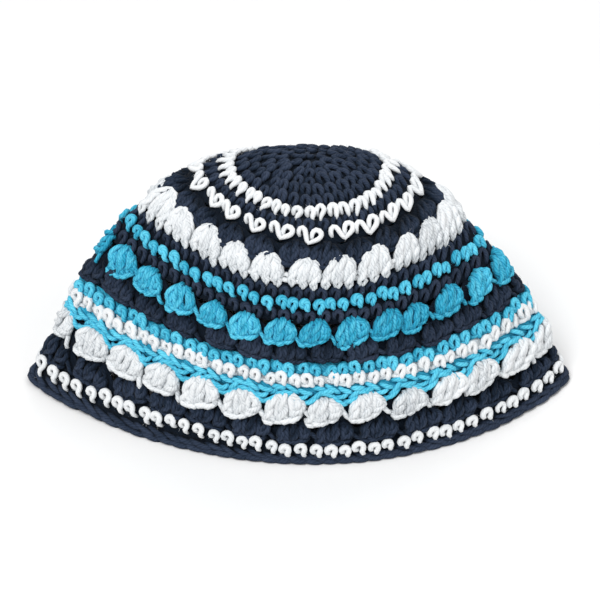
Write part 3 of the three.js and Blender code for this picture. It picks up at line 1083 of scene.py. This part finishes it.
@dataclass(frozen=True)
class YarnFinish:
    """Colours of one yarn, from the painted shade of its grooves and deep strands to its lit
    fibres, and how it takes light.

    level is how light it is of itself. tone and mottle say how far single stitches and slow
    changes make it lighter or darker. The next two say how far painted shade darkens it: in
    the grooves between plies, and on strands that lie deep in their row.
    """

    yarn: Yarn
    # The painted shade colour, at the dark end of the ramp.
    shade_colour: tuple[float, float, float]
    main: tuple[float, float, float]
    bright: tuple[float, float, float]
    # How far painted shade darkens strands that lie deep in their row.
    depth_shade: float
    level: float = 0.58
    tone: float = 0.05
    mottle: float = 0.50
    # How far painted shade darkens the grooves between plies.
    groove: float = 0.4
    roughness: float = 0.85
    sheen: float = 0.03
    bump: float = 0.45

    def material(self, twist: NodeTree) -> Material:
        """Makes the yarn's material.

        Args:
            twist: the group that shapes plies and fibres.

        Returns:
            The material.
        """
        material = bpy.data.materials.new(self.yarn.value)
        material.use_nodes = True
        bench = NodeBench(material.node_tree)
        shader = material.node_tree.nodes["Principled BSDF"]
        set_inputs(shader, Sheen_Weight=self.sheen, Sheen_Roughness=0.5, Specular_IOR_Level=0.12)
        plies = bench.add("ShaderNodeGroup", node_tree=twist)
        tone = bench.add("ShaderNodeAttribute", attribute_name="tone")
        depth = bench.add("ShaderNodeAttribute", attribute_name="depth")

        level = bench.maths("MULTIPLY_ADD", tone.outputs["Fac"], self.tone, self.level)
        level = bench.maths("MULTIPLY_ADD", plies.outputs["Mottle"], self.mottle, level)
        # Painted shade: darker in the grooves between plies and where a strand lies deep in its row.
        darker = ((plies.outputs["Groove"], self.groove), (depth.outputs["Fac"], self.depth_shade))
        for socket, much in darker:
            level = bench.maths("SUBTRACT", level, bench.maths("MULTIPLY", socket, much))
        # The ramp runs from the painted shade colour through the main colour to the bright one.
        colours = bench.add("ShaderNodeValToRGB")
        stops = colours.color_ramp.elements
        stops[0].color = (*self.shade_colour, 1.0)
        stops[1].color = (*self.bright, 1.0)
        stops.new(0.45).color = (*self.main, 1.0)
        bench.join(level, colours.inputs[0])
        bench.join(colours.outputs[0], shader.inputs["Base Color"])

        rough = bench.maths("MULTIPLY_ADD", plies.outputs["Groove"], 0.12, self.roughness)
        bench.join(rough, shader.inputs["Roughness"])
        bump = bench.add("ShaderNodeBump")
        set_inputs(bump, Strength=self.bump, Distance=0.0003)
        bench.join(plies.outputs["Height"], bump.inputs["Height"])
        bench.join(bump.outputs[0], shader.inputs["Normal"])
        return material


# Each yarn: its painted shade colour, main colour and bright colour, then how far painted shade
# darkens strands that lie deep in their row.
FINISHES = (
    YarnFinish(Yarn.NAVY, (0.003, 0.007, 0.014), (0.011, 0.020, 0.038), (0.043, 0.060, 0.102), 0.75),
    YarnFinish(Yarn.WHITE, (0.42, 0.45, 0.48), (0.80, 0.83, 0.85), (0.92, 0.93, 0.94), 0.48),
    YarnFinish(Yarn.BLUE, (0.002, 0.07, 0.14), (0.028, 0.36, 0.55), (0.17, 0.75, 0.97), 0.42),
)


@dataclass
class Studio:
    """The pale floor, the soft lights and the camera at the photograph's angle."""

    elevation: float = 35.0
    distance: float = 1.1
    aim: tuple[float, float, float] = (0.0008, -0.0019, 0.0399)
    pixels_per_metre: float = 2300.0
    photo_pixels: float = 600.0
    sensor: float = 36.0
    floor_size: float = 8.0

    def floor(self) -> None:
        """Lays a wide pale floor."""
        bpy.ops.mesh.primitive_plane_add(size=self.floor_size, location=(0.0, 0.0, 0.0))
        floor = bpy.context.active_object
        floor.name = "studio_floor"
        material = bpy.data.materials.new("pale_floor")
        material.use_nodes = True
        shader = material.node_tree.nodes["Principled BSDF"]
        set_inputs(shader, Base_Color=(0.93, 0.93, 0.93, 1.0), Roughness=0.9)
        floor.data.materials.append(material)

    def lamp(self, name: str, place: tuple[float, float, float], size: float, power: float) -> None:
        """Adds a square soft light that faces the cap.

        Args:
            name: its name.
            place: where it stands, in metres.
            size: its side, in metres.
            power: its power, in watts.
        """
        data = bpy.data.lights.new(name, "AREA")
        data.size = size
        data.energy = power
        lamp = bpy.data.objects.new(name, data)
        lamp.location = place
        lamp.rotation_mode = "QUATERNION"
        middle = Vector((0.0, 0.0, 0.05))
        lamp.rotation_quaternion = (middle - Vector(place)).to_track_quat("-Z", "Y")
        bpy.context.collection.objects.link(lamp)

    def sky(self, strength: float) -> None:
        """Sets an even white surround, shown in plain colours."""
        world = bpy.data.worlds.new("studio_surround")
        world.use_nodes = True
        background = world.node_tree.nodes["Background"]
        set_inputs(background, Color=(1.0, 1.0, 1.0, 1.0), Strength=strength)
        bpy.context.scene.world = world
        bpy.context.scene.view_settings.view_transform = "Standard"

    def camera(self) -> None:
        """Adds the camera, looking along +Y and down."""
        up = math.radians(self.elevation)
        back = Vector((0.0, -math.cos(up), math.sin(up)))
        data = bpy.data.cameras.new("photo_camera")
        data.sensor_width = self.sensor
        data.lens = self.sensor * self.pixels_per_metre * self.distance / self.photo_pixels
        camera = bpy.data.objects.new("photo_camera", data)
        camera.location = Vector(self.aim) + back * self.distance
        camera.rotation_mode = "QUATERNION"
        camera.rotation_quaternion = (-back).to_track_quat("-Z", "Y")
        bpy.context.collection.objects.link(camera)
        bpy.context.scene.camera = camera

    def build(self) -> None:
        """Sets up the whole studio."""
        self.floor()
        self.sky(0.40)
        self.lamp("key_light", (-0.6, -0.9, 1.6), 0.9, 24.0)
        self.lamp("fill_light", (1.2, -0.6, 1.0), 1.4, 6.0)
        self.lamp("rim_light", (0.3, 1.3, 1.2), 1.2, 9.0)
        self.camera()


def main() -> None:
    """Dresses the cap round by round and sets up the studio."""
    first_seed = 100
    logging.basicConfig(level=logging.INFO, format="%(name)s: %(message)s")
    bpy.ops.object.select_all(action="DESELECT")
    Studio().build()
    cloth = Cloth()
    twist = yarn_twist_group()
    materials = {finish.yarn: finish.material(twist) for finish in FINISHES}
    total = 0
    for seed, each in enumerate(rounds()):
        triangles = each.build(cloth, materials, first_seed + seed)
        total += triangles
        LOG.info("%s: %d triangles", each.node, triangles)
    LOG.info("all rounds: %d triangles", total)
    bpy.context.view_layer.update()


if __name__ == "__main__":
    main()
